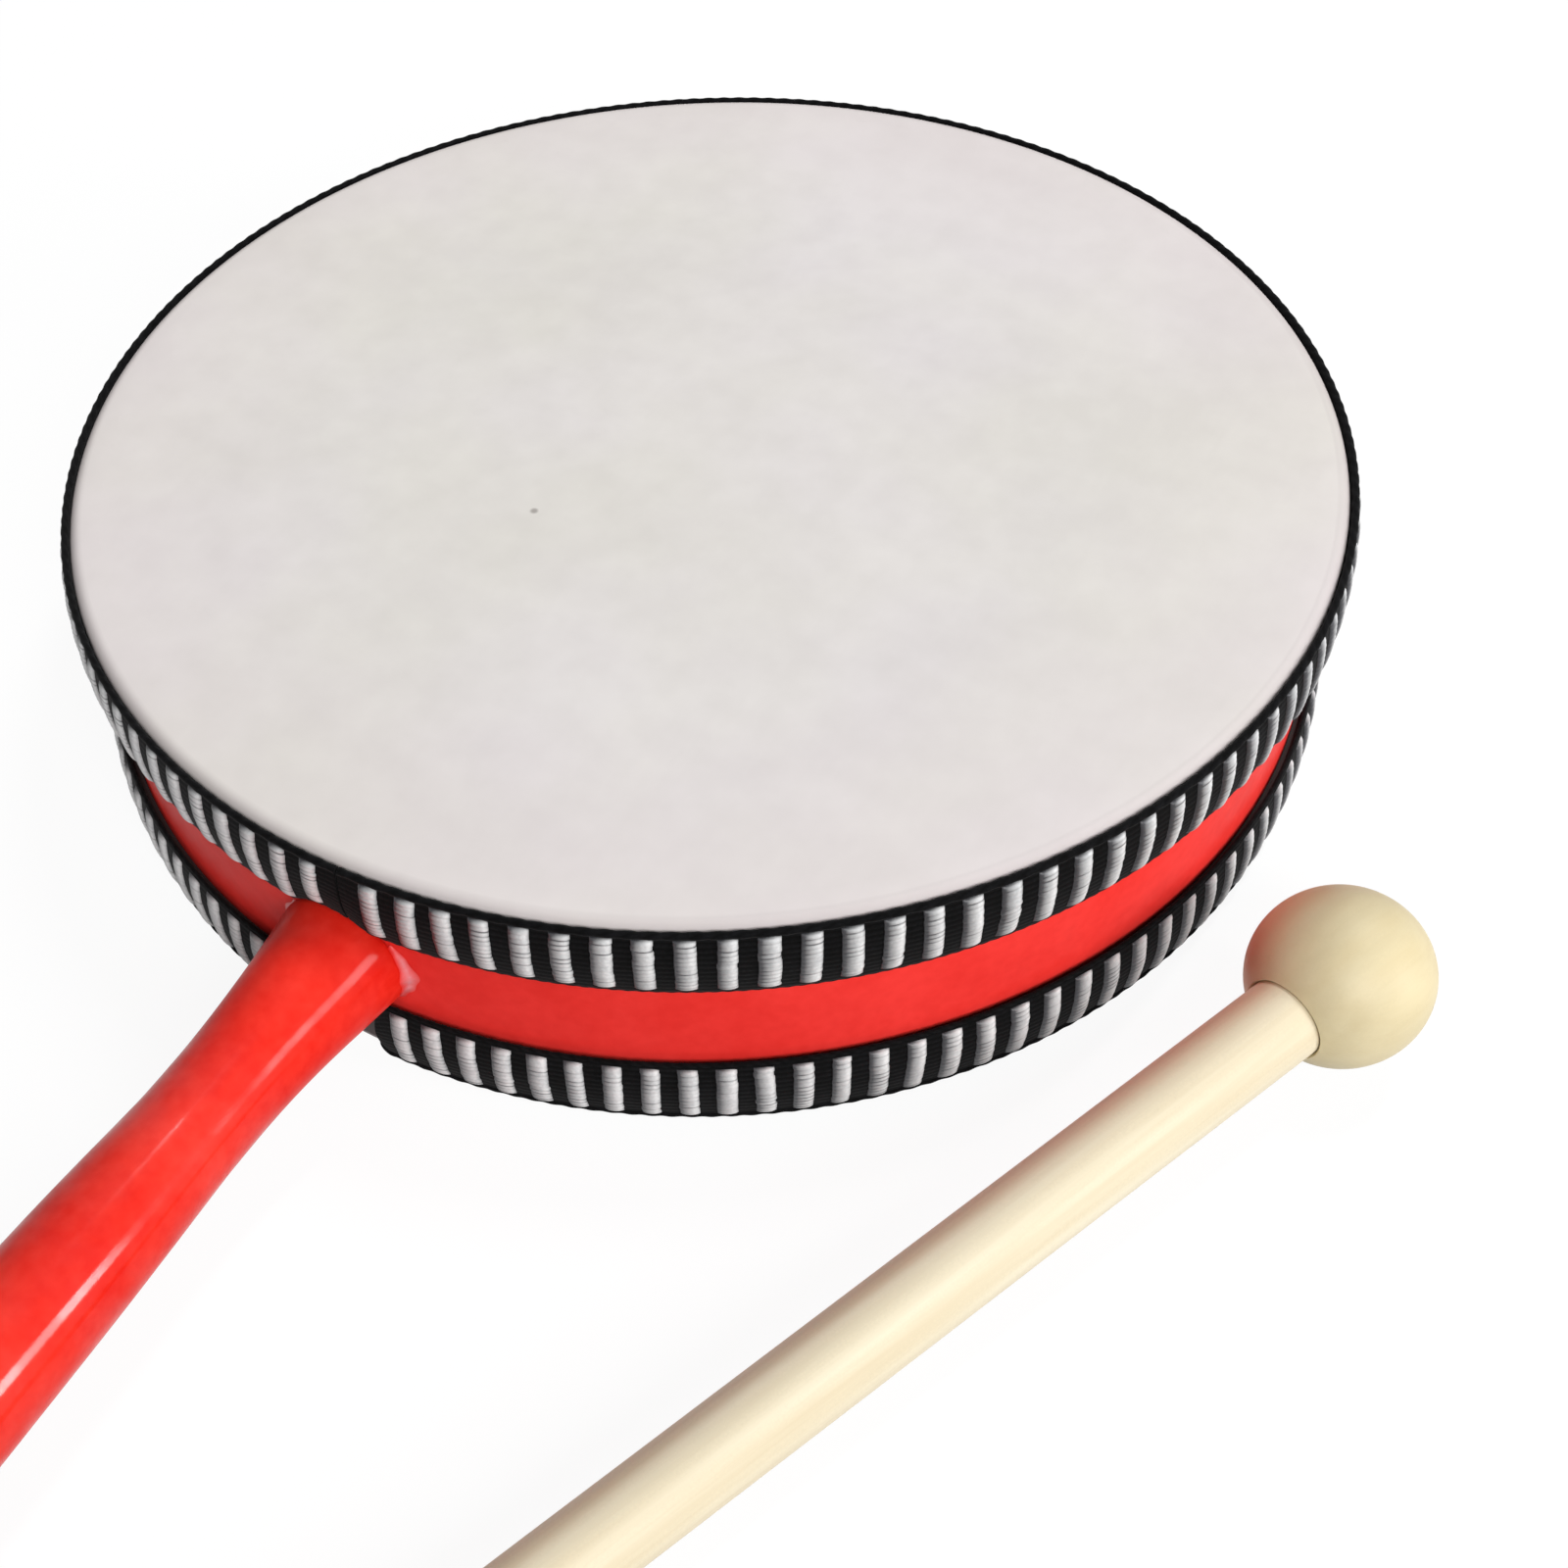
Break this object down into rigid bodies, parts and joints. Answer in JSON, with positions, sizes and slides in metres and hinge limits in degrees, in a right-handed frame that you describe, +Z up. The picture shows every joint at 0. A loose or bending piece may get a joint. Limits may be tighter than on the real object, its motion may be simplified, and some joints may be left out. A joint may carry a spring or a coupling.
{
  "type": "toy hand drum",
  "caption": "Round wooden hand drum with two skin heads, ribbed woven tape round its edges, a turned handle and a ball-ended mallet lying beside it.",
  "frame": {"origin": "centre of the lower head's outer face, on which the drum lies", "axes": "+Z up out of the upper head, -Y along the handle away from the drum, +X towards the mallet's side"},
  "size_m": [0.1773, 0.2713, 0.0321],
  "materials": {
    "red_lacquer": "gloss lacquer over wood",
    "skin": "matte, faintly mottled",
    "black_tape": "woven",
    "white_yarn": "fine twisted yarn",
    "steel": "zinc plated",
    "glue": "dried white glue",
    "pale_wood": "sanded, unpainted"
  },
  "bodies": {
    "drum": {"shell_hoop": "red_lacquer", "upper_head": "skin", "lower_head": "skin", "upper_ribbon": "black_tape", "lower_ribbon": "black_tape", "upper_ribs": "white_yarn", "lower_ribs": "white_yarn", "handle": "red_lacquer", "handle_screw": "steel", "screw_washer": "steel", "handle_glue": "glue"},
    "mallet": {"mallet_stick": "pale_wood", "mallet_ball": "pale_wood"}
  },
  "joints": [
    {"name": "mallet_lift", "type": "slide", "parent": "drum", "child": "mallet", "axis": [0, 0, 1], "range_m": [0, 0.08]}
  ]
}
